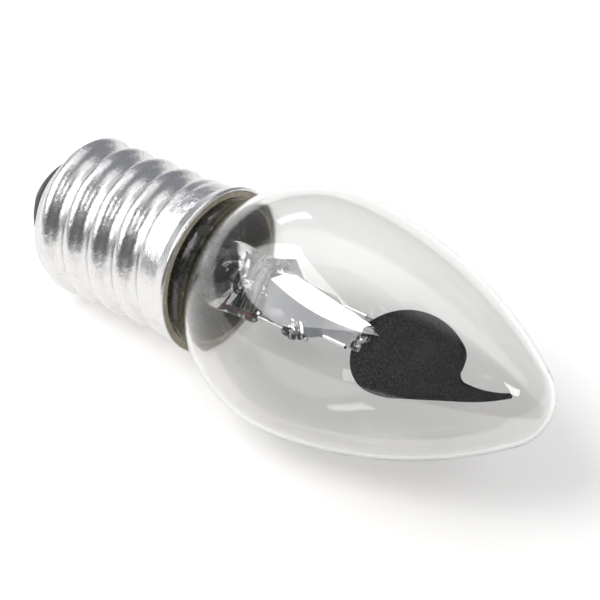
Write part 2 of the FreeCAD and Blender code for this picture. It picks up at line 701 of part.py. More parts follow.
def flame_weld(side):
    # A ragged row of beads over the lap of the shank and the flame.
    beads = []
    for across, above, radius in FLAME_WELDS:
        centre = vec(across, MOUNT_FACE_Y - FLAME_WELD_SINK * radius, SHANK_TOP_Z + above)
        beads.append(Part.makeSphere(radius, centre))
    row = beads[0].multiFuse(beads[1:]).removeSplitter()
    behind = Part.makeBox(BELLY_R, BELLY_R, BELLY_R)
    behind.translate(vec(-BELLY_R / 2, MOUNT_FACE_Y - BELLY_R, SHANK_TOP_Z - BELLY_R / 2))
    return on_side(row.cut(behind), side).cut(shank(side))


def thread_crest_low_z():
    # The last whole crest of the thread on the side that faces the floor.
    crest_z = THREAD_CREST_Z + THREAD_PITCH * (180 - THREAD_CLOCK_DEG) / 360
    return crest_z + THREAD_PITCH * math.ceil((SHOULDER_Z - crest_z) / THREAD_PITCH)


def rest():
    # Tilt of the axis, in radians, and height of the rim's centre, with the crest and the
    # bulb's shoulder arc on one line.
    half = THREAD_PITCH / 2
    crest_arc = half / (2 * math.sin(2 * math.atan(THREAD_DEPTH / half)))
    crest_r = THREAD_CREST_R - crest_arc
    bulb_r = BELLY_R - BULB_SHOULDER_ARC
    along = belly_z() - thread_crest_low_z()
    across = crest_r - bulb_r
    tilt = math.asin((BULB_SHOULDER_ARC - crest_arc) / math.hypot(along, across)) - math.atan2(across, along)
    height = crest_r * math.cos(tilt) + crest_arc - thread_crest_low_z() * math.sin(tilt)
    return tilt, height


def laid(shape, shift_x):
    # From the lamp's own frame to the floor: its axis leans up from +X, its X side on top.
    tilt, height = rest()
    matrix = FreeCAD.Matrix(
        -math.sin(tilt), 0, math.cos(tilt), shift_x,
        0, -1, 0, 0,
        math.cos(tilt), 0, math.sin(tilt), height,
        0, 0, 0, 1)
    return shape.transformed(matrix)


def middle_x(shapes):
    boxes = [laid(shape, 0).optimalBoundingBox() for shape in shapes]
    return (min(box.XMin for box in boxes) + max(box.XMax for box in boxes)) / 2


def main():
    on_axis = {
        "glass_bulb": glass_bulb(),
        "exhaust_tube": exhaust_tube(),
        "capping_cement": capping_cement(),
        "screw_shell": screw_shell(),
        "insulator": insulator(),
        "centre_contact": centre_contact(),
        "contact_solder": contact_solder(),
        "lead_to_shell": lead_to_shell(),
        "side_weld": side_weld(),
    }
    on_mount = {
        "stem": stem(),
        "seal_wire_upper": seal_wire(1),
        "seal_wire_lower": seal_wire(-1),
        "lead_to_resistor": lead_to_resistor(),
        "ballast_resistor": ballast_resistor(),
        "lead_to_contact": lead_to_contact(),
        "shank_front": shank(1),
        "shank_rear": shank(-1),
        "seal_weld_front": seal_weld(1),
        "seal_weld_rear": seal_weld(-1),
        "flame_front": flame(1),
        "flame_rear": flame(-1),
        "flame_weld_front": flame_weld(1),
        "flame_weld_rear": flame_weld(-1),
    }
    pieces = dict(on_axis)
    pieces.update({name: in_lamp_shape(shape) for name, shape in on_mount.items()})
    shift_x = -middle_x([pieces["glass_bulb"], pieces["screw_shell"], pieces["contact_solder"]])
    os.makedirs("parts", exist_ok=True)
    for name, shape in pieces.items():
        laid(shape, shift_x).exportStep(os.path.join("parts", name + ".step"))
        print(name, len(shape.Solids), round(shape.Volume, 3), shape.isValid())


main()
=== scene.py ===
"""A clear flicker flame lamp with an E14 cap, lying on a pale floor in soft studio light.

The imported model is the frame. The bulb, the cap's shell and the cement are made new here. The
shanks, the welds and the seal wires are changed copies of their solids. Every other piece keeps
its solid's shape and gets a finish.

Lengths in the classes are millimetres, in the lamp's own frame: Z on the lamp's axis, zero at
the open rim of the cap, and X on the side that lies on top.
"""

import json
import logging
import math
from collections.abc import Callable, Sequence
from dataclasses import dataclass
from enum import Enum

import bmesh
import bpy
from mathutils import Matrix, Vector, noise


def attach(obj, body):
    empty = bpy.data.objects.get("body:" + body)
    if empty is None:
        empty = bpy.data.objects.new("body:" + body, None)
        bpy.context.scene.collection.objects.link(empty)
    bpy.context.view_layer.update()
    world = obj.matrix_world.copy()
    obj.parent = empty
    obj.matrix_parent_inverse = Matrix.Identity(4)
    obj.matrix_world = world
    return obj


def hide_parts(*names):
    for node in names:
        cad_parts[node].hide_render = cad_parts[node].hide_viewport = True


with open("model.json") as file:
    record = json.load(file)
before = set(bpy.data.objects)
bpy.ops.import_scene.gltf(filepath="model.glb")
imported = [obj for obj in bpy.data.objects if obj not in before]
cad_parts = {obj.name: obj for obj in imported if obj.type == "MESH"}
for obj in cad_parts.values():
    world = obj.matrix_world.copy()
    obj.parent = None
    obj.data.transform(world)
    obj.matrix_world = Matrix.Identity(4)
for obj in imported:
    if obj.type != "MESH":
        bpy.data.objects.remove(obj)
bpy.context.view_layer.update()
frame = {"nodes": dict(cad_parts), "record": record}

log = logging.getLogger("lamp")

MM = 0.001
MERGE_MM = 1e-5
MERGE_M = 2e-7
SLIVER_M = 1e-8
BODY = "root"

Number = float | int
Pair = tuple[float, float]
Triple = tuple[float, float, float]
Colour = Triple


class Side(Enum):
    """The two faces of the mount, as signs along the way out of the front one."""

    FRONT = 1
    REAR = -1


class LampFrame:
    """Where the lamp's own frame lies in the world."""

    thread_mount_to_rim = 8.6
    flames_clock_deg = -48.3

    def __init__(self, record: dict) -> None:
        """Reads the axis from the mount on the thread.

        Args:
            record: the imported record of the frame.
        """
        mount = next(m for m in record["mounts"] if m["name"] == "screw_thread")
        self.axis = -Vector(mount["axis"]).normalized()
        self.rim = Vector(mount["pos_m"]) + self.axis * self.thread_mount_to_rim * MM
        self.top = Vector((-self.axis.z, 0.0, self.axis.x))
        self.side = self.axis.cross(self.top)

    def matrix(self) -> Matrix:
        """Returns the matrix that takes lamp millimetres to world metres."""
        turn = Matrix((self.top, self.side, self.axis)).transposed().to_4x4()
        return Matrix.Translation(self.rim) @ turn @ Matrix.Scale(MM, 4)

    def across(self) -> Vector:
        """Returns the direction across the flames, in the lamp's frame."""
        return way_to(self.flames_clock_deg, 0.0)


LAMP = LampFrame(frame["record"])


def way_to(azimuth_deg: float, elevation_deg: float) -> Vector:
    """Turns two angles into a direction.

    Args:
        azimuth_deg: angle about Z, from X.
        elevation_deg: angle over the plane of X and Y.

    Returns:
        The direction, one long.
    """
    azimuth = math.radians(azimuth_deg)
    elevation = math.radians(elevation_deg)
    level = math.cos(elevation)
    return Vector((level * math.cos(azimuth), level * math.sin(azimuth), math.sin(elevation)))


class Signal:
    """A socket of a node tree that can be used in Python expressions."""

    def __init__(self, tree: "NodeSheet", socket: bpy.types.NodeSocket) -> None:
        """Wraps a socket.

        Args:
            tree: the sheet that the socket's node belongs to.
            socket: an output socket.
        """
        self.tree = tree
        self.socket = socket

    def _math(self, operation: str, *values: "Signal | Number") -> "Signal":
        """Returns the result of one Math node."""
        return self.tree.add("ShaderNodeMath", {"operation": operation}, dict(enumerate(values)))

    def __add__(self, other: "Signal | Number") -> "Signal":
        """Returns the sum."""
        return self._math("ADD", self, other)

    def __radd__(self, other: Number) -> "Signal":
        """Returns the sum."""
        return self._math("ADD", other, self)

    def __sub__(self, other: "Signal | Number") -> "Signal":
        """Returns the difference."""
        return self._math("SUBTRACT", self, other)

    def __mul__(self, other: "Signal | Number") -> "Signal":
        """Returns the product."""
        return self._math("MULTIPLY", self, other)

    def root(self) -> "Signal":
        """Returns the square root."""
        return self._math("SQRT", self)

    def sine(self) -> "Signal":
        """Returns the sine."""
        return self._math("SINE", self)

    def ramp(self, low: float, high: float) -> "Signal":
        """Builds a smooth step between two values.

        Args:
            low: value that gives zero.
            high: value that gives one; it may be under low.

        Returns:
            The step, zero to one.
        """
        return self.tree.add("ShaderNodeMapRange", {"interpolation_type": "SMOOTHSTEP"},
                             {"Value": self, "From Min": low, "From Max": high})


class NodeSheet:
    """A material's or a world's node tree, with one way to add a node."""

    mix_low, mix_high, mix_result = 6, 7, 2

    def __init__(self, tree: bpy.types.NodeTree) -> None:
        """Clears a tree and takes it over.

        Args:
            tree: the tree to fill.
        """
        self.tree = tree
        self.tree.nodes.clear()
        self._place: list[Signal] = []

    def raw(self, kind: str, settings: dict | None = None,
            inputs: dict | None = None) -> bpy.types.Node:
        """Adds a node.

        Args:
            kind: the node's type.
            settings: attributes of the node, set before its sockets.
            inputs: socket name or number to a value or a Signal; a colour has three values.

        Returns:
            The node.
        """
        node = self.tree.nodes.new(kind)
        for name, value in (settings or {}).items():
            setattr(node, name, value)
        for name, value in (inputs or {}).items():
            socket = node.inputs[name]
            if isinstance(value, Signal):
                self.tree.links.new(value.socket, socket)
            else:
                socket.default_value = (*value, 1.0) if socket.type == "RGBA" else value
        return node

    def add(self, kind: str, settings: dict | None = None, inputs: dict | None = None,
            output: str | int = 0) -> Signal:
        """Adds a node as raw does, and returns one of its outputs as a Signal."""
        return Signal(self, self.raw(kind, settings, inputs).outputs[output])

    def mix(self, factor: Signal, low: Signal | Colour, high: Signal | Colour) -> Signal:
        """Mixes two colours.

        Args:
            factor: zero for low, one for high.
            low: colour, or a Signal of one.
            high: colour, or a Signal of one.

        Returns:
            The mixed colour.
        """
        inputs = {0: factor, self.mix_low: low, self.mix_high: high}
        return self.add("ShaderNodeMix", {"data_type": "RGBA"}, inputs, self.mix_result)

    def dot(self, first: Signal, second: Vector) -> Signal:
        """Returns the dot product of a vector with a direction."""
        return self.add("ShaderNodeVectorMath", {"operation": "DOT_PRODUCT"},
                        {0: first, 1: tuple(second)}, "Value")

    def lamp_place(self) -> tuple[Signal, ...]:
        """Finds a point's place in the lamp's frame, once a sheet.

        Returns:
            The three lamp coordinates, in millimetres.
        """
        if not self._place:
            place = self.add("ShaderNodeTexCoord", {}, {}, "Object")
            for way in (LAMP.top, LAMP.side, LAMP.axis):
                self._place.append((self.dot(place, way) - LAMP.rim.dot(way)) * (1 / MM))
        return tuple(self._place)

    def vector(self, x: Signal, y: Signal, z: Signal) -> Signal:
        """Returns a vector from three values."""
        return self.add("ShaderNodeCombineXYZ", {}, {0: x, 1: y, 2: z})

    def noise(self, scale: float, detail: float = 3.0, stretch: Triple = (1.0, 1.0, 1.0),
              roughness: float = 0.5, distortion: float = 0.0) -> Signal:
        """Builds noise over the lamp's own frame.

        Args:
            scale: features per millimetre.
            detail: octaves.
            stretch: how much denser the pattern is along each lamp direction.
            roughness: strength of the finer octaves.
            distortion: how much the pattern is warped.

        Returns:
            The noise, about zero to one.
        """
        x, y, z = self.lamp_place()
        place = self.vector(x * stretch[0], y * stretch[1], z * stretch[2])
        return self.add(
            "ShaderNodeTexNoise", {"noise_dimensions": "3D"},
            {"Vector": place, "Scale": scale, "Detail": detail, "Roughness": roughness,
             "Distortion": distortion},
        )

    def bump(self, height: Signal, distance_mm: float, strength: float = 1.0,
             under: Signal | None = None) -> Signal:
        """Bends the normal by a height.

        Args:
            height: the height, zero to one.
            distance_mm: height of one.
            strength: share of the bump that is used.
            under: another bump's normal that this one is added to.

        Returns:
            The bent normal.
        """
        inputs = {"Height": height, "Strength": strength, "Distance": distance_mm * MM}
        if under is not None:
            inputs["Normal"] = under
        return self.add("ShaderNodeBump", {}, inputs)

    def surface(self, **sockets: Signal | Number | Colour) -> Signal:
        """Builds a Principled shader.

        Args:
            sockets: its sockets' values, named in lower case with underscores.

        Returns:
            The shader.
        """
        inputs = {name.replace("_", " ").title().replace("Ior", "IOR"): value
                  for name, value in sockets.items()}
        return self.add("ShaderNodeBsdfPrincipled", {}, inputs)

    def finish(self, shader: Signal, output: str = "ShaderNodeOutputMaterial") -> None:
        """Links a shader to the output."""
        self.raw(output, {}, {"Surface": shader})


@dataclass(frozen=True)
class Finish:
    """A finish: a name and the way to build its shader."""

    name: str

    def shade(self, sheet: NodeSheet) -> Signal:
        """Returns the shader, built on a sheet."""
        raise NotImplementedError

    def material(self) -> bpy.types.Material:
        """Makes the material, or finds the one that is made already.

        Returns:
            The material.
        """
        known = bpy.data.materials.get(self.name)
        if known:
            return known
        material = bpy.data.materials.new(self.name)
        material.use_nodes = True
        sheet = NodeSheet(material.node_tree)
        sheet.finish(self.shade(sheet))
        return material


@dataclass(frozen=True)
class BlownGlass(Finish):
    """Clear blown glass, with a slow waviness."""

    tint: Colour = (0.90, 0.90, 0.895)
    ior: float = 1.50
    wave_mm: float = 0.006
    wave_scale: float = 0.16

    def shade(self, sheet: NodeSheet) -> Signal:
        """Builds the shader.

        Args:
            sheet: the sheet to build on.

        Returns:
            The shader.
        """
        waves = sheet.noise(self.wave_scale, detail=1.0)
        return sheet.surface(base_color=self.tint, roughness=0.0, ior=self.ior,
                             transmission_weight=1.0, normal=sheet.bump(waves, self.wave_mm))


@dataclass(frozen=True)
class BrushedAluminium(Finish):
    """Drawn aluminium, brushed round the lamp's axis, with stains and small dents."""

    colour: Colour = (0.755, 0.75, 0.745)
    stain: Colour = (0.56, 0.55, 0.54)
    roughness: float = 0.21
    dent_mm: float = 0.03
    jag_mm: float = 0.035
    brush_mm: float = 0.010

    def shade(self, sheet: NodeSheet) -> Signal:
        """Builds the shader.

        Args:
            sheet: the sheet to build on.

        Returns:
            The shader.
        """
        fine = sheet.noise(1.0, stretch=(0.35, 0.35, 15.0), roughness=0.6)
        jagged = sheet.noise(1.0, detail=4.0, stretch=(1.8, 1.8, 3.6), roughness=0.65)
        streak = sheet.noise(1.0, detail=4.0, stretch=(0.6, 0.6, 6.0), roughness=0.65)
        blotch = sheet.noise(0.55, detail=5.0, roughness=0.6)
        dents = sheet.noise(1.1, detail=2.0, stretch=(1.0, 1.0, 0.8))
        normal = sheet.bump(dents, self.dent_mm)
        normal = sheet.bump(jagged, self.jag_mm, under=normal)
        normal = sheet.bump(fine, self.brush_mm, under=normal)
        stained = blotch.ramp(0.50, 0.72) * 0.30 + streak.ramp(0.52, 0.72) * 0.35
        colour = sheet.mix(stained, self.colour, self.stain)
        rough = self.roughness + fine * 0.10 + blotch.ramp(0.45, 0.75) * 0.08
        return sheet.surface(base_color=colour, metallic=1.0, roughness=rough, normal=normal)


@dataclass(frozen=True)
class SkirtWeld(Finish):
    """The weld on the skirt: the skirt's own metal, melted into ragged ripples, with painted shade
    in the ripples' hollows.
    """

    colour: Colour = (0.84, 0.84, 0.86)
    # groove_shade: painted shade, the darker colour given to the hollows between the ripples.
    groove_shade: Colour = (0.50, 0.50, 0.53)
    roughness: float = 0.30
    ripple_mm: float = 0.22

    def shade(self, sheet: NodeSheet) -> Signal:
        """Builds the shader.

        Args:
            sheet: the sheet to build on.

        Returns:
            The shader.
        """
        ripples = sheet.noise(1.5, stretch=(1.0, 1.0, 1.6), roughness=0.6, distortion=0.8)
        # Painted shade: the low parts of the ripples take the darker colour.
        colour = sheet.mix(ripples.ramp(0.42, 0.62), self.groove_shade, self.colour)
        return sheet.surface(base_color=colour, metallic=1.0, roughness=self.roughness,
                             normal=sheet.bump(ripples, self.ripple_mm))


@dataclass(frozen=True)
class BlackGlass(Finish):
    """Moulded black glass of the insulator."""

    dark: Colour = (0.006, 0.006, 0.007)
    light: Colour = (0.014, 0.013, 0.014)
    roughness: float = 0.42
    specular: float = 0.25
    swell_mm: float = 0.03

    def shade(self, sheet: NodeSheet) -> Signal:
        """Builds the shader.

        Args:
            sheet: the sheet to build on.

        Returns:
            The shader.
        """
        grain = sheet.noise(2.2)
        swell = sheet.noise(0.7, detail=2.0)
        return sheet.surface(base_color=sheet.mix(grain, self.dark, self.light),
                             roughness=self.roughness + grain * 0.12,
                             specular_ior_level=self.specular,
                             normal=sheet.bump(swell, self.swell_mm))


@dataclass(frozen=True)
class Solder(Finish):
    """Soft solder, lumpy and slightly dull."""

    colour: Colour = (0.62, 0.62, 0.63)
    dull: Colour = (0.36, 0.35, 0.34)
    roughness: float = 0.28
    lump_mm: float = 0.10
    grain_mm: float = 0.015

    def shade(self, sheet: NodeSheet) -> Signal:
        """Builds the shader.

        Args:
            sheet: the sheet to build on.

        Returns:
            The shader.
        """
        lumps = sheet.noise(1.8)
        grain = sheet.noise(9.0)
        normal = sheet.bump(lumps, self.lump_mm)
        normal = sheet.bump(grain, self.grain_mm, strength=0.6, under=normal)
        colour = sheet.mix(lumps.ramp(0.35, 0.7), self.colour, self.dull)
        return sheet.surface(base_color=colour, metallic=1.0, normal=normal,
                             roughness=self.roughness + grain * 0.2)


@dataclass(frozen=True)
class Cement(Finish):
    """Baked capping cement, grainy, with darker and olive places."""

    dark: Colour = (0.54, 0.49, 0.36)
    light: Colour = (0.90, 0.81, 0.69)
    olive: Colour = (0.42, 0.43, 0.22)
    pale: Colour = (0.90, 0.85, 0.76)
    roughness: float = 0.8
    grain_mm: float = 0.12

    def shade(self, sheet: NodeSheet) -> Signal:
        """Builds the shader.

        Args:
            sheet: the sheet to build on.

        Returns:
            The shader.
        """
        patches = sheet.noise(0.32)
        grain = sheet.noise(3.5, detail=5.0, roughness=0.65)
        streaks = sheet.noise(1.0, stretch=(3.2, 3.2, 0.4))
        colour = sheet.mix(patches.ramp(0.35, 0.68), self.dark, self.light)
        colour = sheet.mix(streaks.ramp(0.42, 0.70) * 0.7, colour, self.olive)
        colour = sheet.mix(grain.ramp(0.55, 0.8) * 0.4, colour, self.pale)
        return sheet.surface(base_color=colour, roughness=self.roughness,
                             normal=sheet.bump(grain, self.grain_mm))


@dataclass(frozen=True)
class Grained(Finish):
    """A plain finish with a fine grain, as drawn wire, tinned plate and lacquer have."""

    colour: Colour
    dark: Colour
    roughness: float
    scale: float
    detail: float = 3.0
    edge: Pair | None = None
    metallic: float = 1.0
    spread: float = 0.15
    grain_mm: float = 0.01

    def shade(self, sheet: NodeSheet) -> Signal:
        """Builds the shader.

        Args:
            sheet: the sheet to build on.

        Returns:
            The shader.
        """
        grain = sheet.noise(self.scale, self.detail)
        share = grain.ramp(*self.edge) if self.edge else grain
        return sheet.surface(base_color=sheet.mix(share, self.colour, self.dark),
                             metallic=self.metallic, roughness=self.roughness + grain * self.spread,
                             normal=sheet.bump(grain, self.grain_mm, strength=0.5))


@dataclass(frozen=True)
class SealWire(Finish):
    """Copper-clad wire, red in the glass and bright nickel above the press."""

    red: Colour = (0.24, 0.065, 0.04)
    dark_red: Colour = (0.12, 0.045, 0.03)
    nickel: Colour = (0.72, 0.71, 0.69)
    metallic: float = 0.8
    roughness: float = 0.22
    grain_mm: float = 0.01
    press_end_z: float = 5.35
    change_length: float = 0.1

    def shade(self, sheet: NodeSheet) -> Signal:
        """Builds the shader.

        Args:
            sheet: the sheet to build on.

        Returns:
            The shader.
        """
        z = sheet.lamp_place()[2]
        grain = sheet.noise(2.4)
        red = sheet.mix(grain.ramp(0.4, 0.65), self.red, self.dark_red)
        bare = z.ramp(self.press_end_z - self.change_length, self.press_end_z)
        return sheet.surface(base_color=sheet.mix(bare, red, self.nickel), metallic=self.metallic,
                             roughness=self.roughness + grain * 0.15,
                             normal=sheet.bump(grain, self.grain_mm, strength=0.5))


@dataclass(frozen=True)
class BareSteel(Finish):
    """Bright rolled steel of the shanks, bent a little along a curve and puckered at the weld."""

    colour: Colour = (0.84, 0.84, 0.83)
    stain: Colour = (0.62, 0.61, 0.59)
    roughness: float = 0.10
    grain_mm: float = 0.005
    bend: float = 0.17
    bend_width: float = 0.10
    bend_middle_z: float = 12.5
    bend_reach: float = 7.1
    bend_rise: float = 1.15
    plate_share: float = 0.5
    pucker_place: Pair = (-2.2, 9.3)
    pucker_pitch: float = 0.75
    pucker_reach: float = 1.9
    pucker_core: float = 0.6
    pucker_mm: float = 0.045

    def plate_form(self, across: float, z: float) -> float:
        """Works out how far a shank's mesh is bent at a place.

        Args:
            across: distance from the lamp's axis, across the flames.
            z: height along the axis.

        Returns:
            The rise from the flat, in millimetres.
        """
        past = ((z - self.bend_middle_z) / self.bend_reach) ** 2 * self.bend_rise - across
        return (past - math.hypot(past, self.bend_width)) * 0.5 * self.plate_share * self.bend

    def form(self, sheet: NodeSheet) -> Signal:
        """Builds the height of the sheet over its mesh.

        Args:
            sheet: the sheet to build on.

        Returns:
            The height, in millimetres.
        """
        x, y, z = sheet.lamp_place()
        way = LAMP.across()
        across = x * way.x + y * way.y
        run = (z - self.bend_middle_z) * (1 / self.bend_reach)
        past = run * run * self.bend_rise - across
        edge = (past * past + self.bend_width ** 2).root()
        in_mesh = (past - edge) * (0.5 * self.plate_share * self.bend)
        fold = (past + edge) * (-0.5 * self.bend) - in_mesh
        side = across - self.pucker_place[0]
        along = z - self.pucker_place[1]
        away = (side * side + along * along).root()
        uneven = sheet.noise(1.1, detail=2.0).ramp(0.35, 0.7)
        rings = (away * (math.tau / self.pucker_pitch)).sine() * uneven
        return fold + rings * away.ramp(self.pucker_reach, self.pucker_core) * self.pucker_mm

    def shade(self, sheet: NodeSheet) -> Signal:
        """Builds the shader.

        Args:
            sheet: the sheet to build on.

        Returns:
            The shader.
        """
        rolled = sheet.noise(1.0, detail=4.0, stretch=(9.0, 9.0, 0.5), roughness=0.6)
        blotch = sheet.noise(0.8)
        colour = sheet.mix(blotch.ramp(0.45, 0.75) * 0.3, self.colour, self.stain)
        normal = sheet.bump(self.form(sheet), distance_mm=1.0)
        normal = sheet.bump(rolled, self.grain_mm, strength=0.4, under=normal)
        return sheet.surface(base_color=colour, metallic=1.0, normal=normal,
                             roughness=self.roughness + rolled * 0.06)


@dataclass(frozen=True)
class BlackCoat(Finish):
    """Matte black coating with a fine grain."""

    colour: Colour = (0.009, 0.009, 0.009)
    light: Colour = (0.060, 0.060, 0.059)
    worn: Colour = (0.055, 0.052, 0.048)
    roughness: float = 0.66
    specular: float = 0.30
    grain_mm: float = 0.03

    def shade(self, sheet: NodeSheet) -> Signal:
        """Builds the shader.

        Args:
            sheet: the sheet to build on.

        Returns:
            The shader.
        """
        grain = sheet.noise(7.0, detail=4.0, roughness=0.7)
        cloud = sheet.noise(0.4, detail=2.0)
        colour = sheet.mix(grain.ramp(0.40, 0.64), self.colour, self.light)
        colour = sheet.mix(cloud.ramp(0.48, 0.75) * 0.5, colour, self.worn)
        return sheet.surface(base_color=colour, roughness=self.roughness,
                             specular_ior_level=self.specular,
                             normal=sheet.bump(grain, self.grain_mm, strength=0.8))


@dataclass(frozen=True)
class WeldMetal(Finish):
    """Rough weld beads, bright on their tops, with painted shade darkening the hollows between
    them.
    """

    # dark: painted shade, the colour given to the hollows between the beads.
    dark: Colour = (0.05, 0.05, 0.05)
    bright: Colour = (0.62, 0.61, 0.59)
    metallic: float = 0.95
    roughness: float = 0.18
    bead_mm: float = 0.16
    lump_mm: float = 0.10

    def shade(self, sheet: NodeSheet) -> Signal:
        """Builds the shader.

        Args:
            sheet: the sheet to build on.

        Returns:
            The shader.
        """
        beads = sheet.add("ShaderNodeTexVoronoi", {"feature": "F1"},
                          {"Vector": sheet.vector(*sheet.lamp_place()), "Scale": 3.2,
                           "Randomness": 1.0}, "Distance")
        lumps = sheet.noise(2.6, detail=4.0, distortion=0.6)
        # Painted shade: the low parts of the lumps take the dark colour.
        colour = sheet.mix(lumps.ramp(0.42, 0.62), self.dark, self.bright)
        normal = sheet.bump(beads, self.bead_mm)
        normal = sheet.bump(lumps, self.lump_mm, under=normal)
        return sheet.surface(base_color=colour, metallic=self.metallic, roughness=self.roughness,
                             normal=normal)


class Palette:
    """All the finishes, each made once."""

    bulb_glass = BlownGlass("clear_blown_glass")
    stem_glass = BlownGlass("clear_stem_glass", tint=(0.97, 0.98, 0.97), ior=1.54, wave_mm=0.03,
                            wave_scale=0.45)
    cap = BrushedAluminium("brushed_aluminium")
    skirt_weld = SkirtWeld("rippled_aluminium")
    insulator = BlackGlass("black_glass")
    solder = Solder("soft_solder")
    contact = Grained("tinned_brass", (0.34, 0.32, 0.28), (0.20, 0.185, 0.16), roughness=0.40,
                      scale=3.0, detail=4.0)
    cement = Cement("capping_cement")
    seal_wire = SealWire("copper_clad_wire")
    lead = Grained("tinned_lead", (0.60, 0.58, 0.54), (0.36, 0.34, 0.31), roughness=0.25,
                   scale=2.4, edge=(0.4, 0.65))
    steel = BareSteel("bare_steel")
    coat = BlackCoat("matte_black_coat")
    weld = WeldMetal("weld_beads")
    resistor = Grained("resistor_lacquer", (0.50, 0.38, 0.20), (0.40, 0.30, 0.17), roughness=0.35,
                       scale=2.0, metallic=0.0, spread=0.0, grain_mm=0.02)


class Shop:
    """Ways to make a mesh and hand it over as a piece of the lamp."""

    @staticmethod
    def spun(profile: Sequence[Pair], steps: int, closed: bool = False) -> bmesh.types.BMesh:
        """Spins a profile of (radius, z) points about Z.

        Args:
            profile: the points, in order.
            steps: segments of a full turn.
            closed: whether the last point joins the first.

        Returns:
            The mesh, with its poles closed and its normals outwards.
        """
        mesh = bmesh.new()
        verts = [mesh.verts.new((radius, 0.0, z)) for radius, z in profile]
        edges = [mesh.edges.new(pair) for pair in zip(verts, verts[1:])]
        if closed:
            edges.append(mesh.edges.new((verts[-1], verts[0])))
        bmesh.ops.spin(mesh, geom=verts + edges, cent=(0, 0, 0), axis=(0, 0, 1), dvec=(0, 0, 0),
                       angle=math.tau, steps=steps, use_merge=True, use_normal_flip=False,
                       use_duplicate=False)
        bmesh.ops.remove_doubles(mesh, verts=mesh.verts, dist=MERGE_MM)
        bmesh.ops.recalc_face_normals(mesh, faces=mesh.faces)
        return mesh

    @staticmethod
    def from_node(node: str) -> bmesh.types.BMesh:
        """Copies a node's mesh and merges it.

        Args:
            node: the node's name.

        Returns:
            The copy, in world metres.
        """
        mesh = bmesh.new()
        mesh.from_mesh(frame["nodes"][node].data)
        bmesh.ops.remove_doubles(mesh, verts=mesh.verts, dist=MERGE_M)
        bmesh.ops.dissolve_degenerate(mesh, edges=mesh.edges, dist=SLIVER_M)
        return mesh

    @staticmethod
    def deliver(mesh: bmesh.types.BMesh, name: str, finish: Finish, replaces: str, slot: str,
                place: Matrix | None = None, sharp_deg: float = 35.0) -> None:
        """Makes a piece from a mesh and puts it on the frame.

        Args:
            mesh: the shape.
            name: the piece's name.
            finish: its finish.
            replaces: the node that it stands for.
            slot: the record's material slot; not used.
            place: matrix to world metres, if the shape is in lamp millimetres.
            sharp_deg: edges that turn more than this stay sharp.
        """
        if place is not None:
            bmesh.ops.transform(mesh, matrix=place, verts=mesh.verts)
        limit = math.radians(sharp_deg)
        for face in mesh.faces:
            face.smooth = True
        for edge in mesh.edges:
            edge.smooth = len(edge.link_faces) != 2 or edge.calc_face_angle(0.0) < limit
        data = bpy.data.meshes.new(name)
        mesh.to_mesh(data)
        mesh.free()
        piece = bpy.data.objects.new(name, data)
        bpy.context.scene.collection.objects.link(piece)
        data.materials.append(finish.material())
        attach(piece, BODY)
        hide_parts(replaces)
        log.info("%s: %d faces", name, len(data.polygons))

    @staticmethod
    def dress(node: str, finish: Finish) -> None:
        """Gives a node of the frame its finish.

        Args:
            node: the node's name.
            finish: the finish.
        """
        for slot in frame["nodes"][node].material_slots:
            slot.material = finish.material()
        log.info("%s: dressed", node)

    @staticmethod
    def arc(centre: Pair, radius: float, start: float, end: float, parts: int,
            with_start: bool = True) -> list[Pair]:
        """Puts points on an arc of a profile.

        Args:
            centre: (radius, z) of the arc's centre.
            radius: the arc's radius.
            start: angle of the first point, in radians from outwards.
            end: angle of the last point.
            parts: how many runs the arc is cut into.
            with_start: whether the first point is given.

        Returns:
            The points, each (radius, z).
        """
        first = 0 if with_start else 1
        angles = [start + (end - start) * step / parts for step in range(first, parts + 1)]
        return [(centre[0] + radius * math.cos(angle), centre[1] + radius * math.sin(angle))
                for angle in angles]


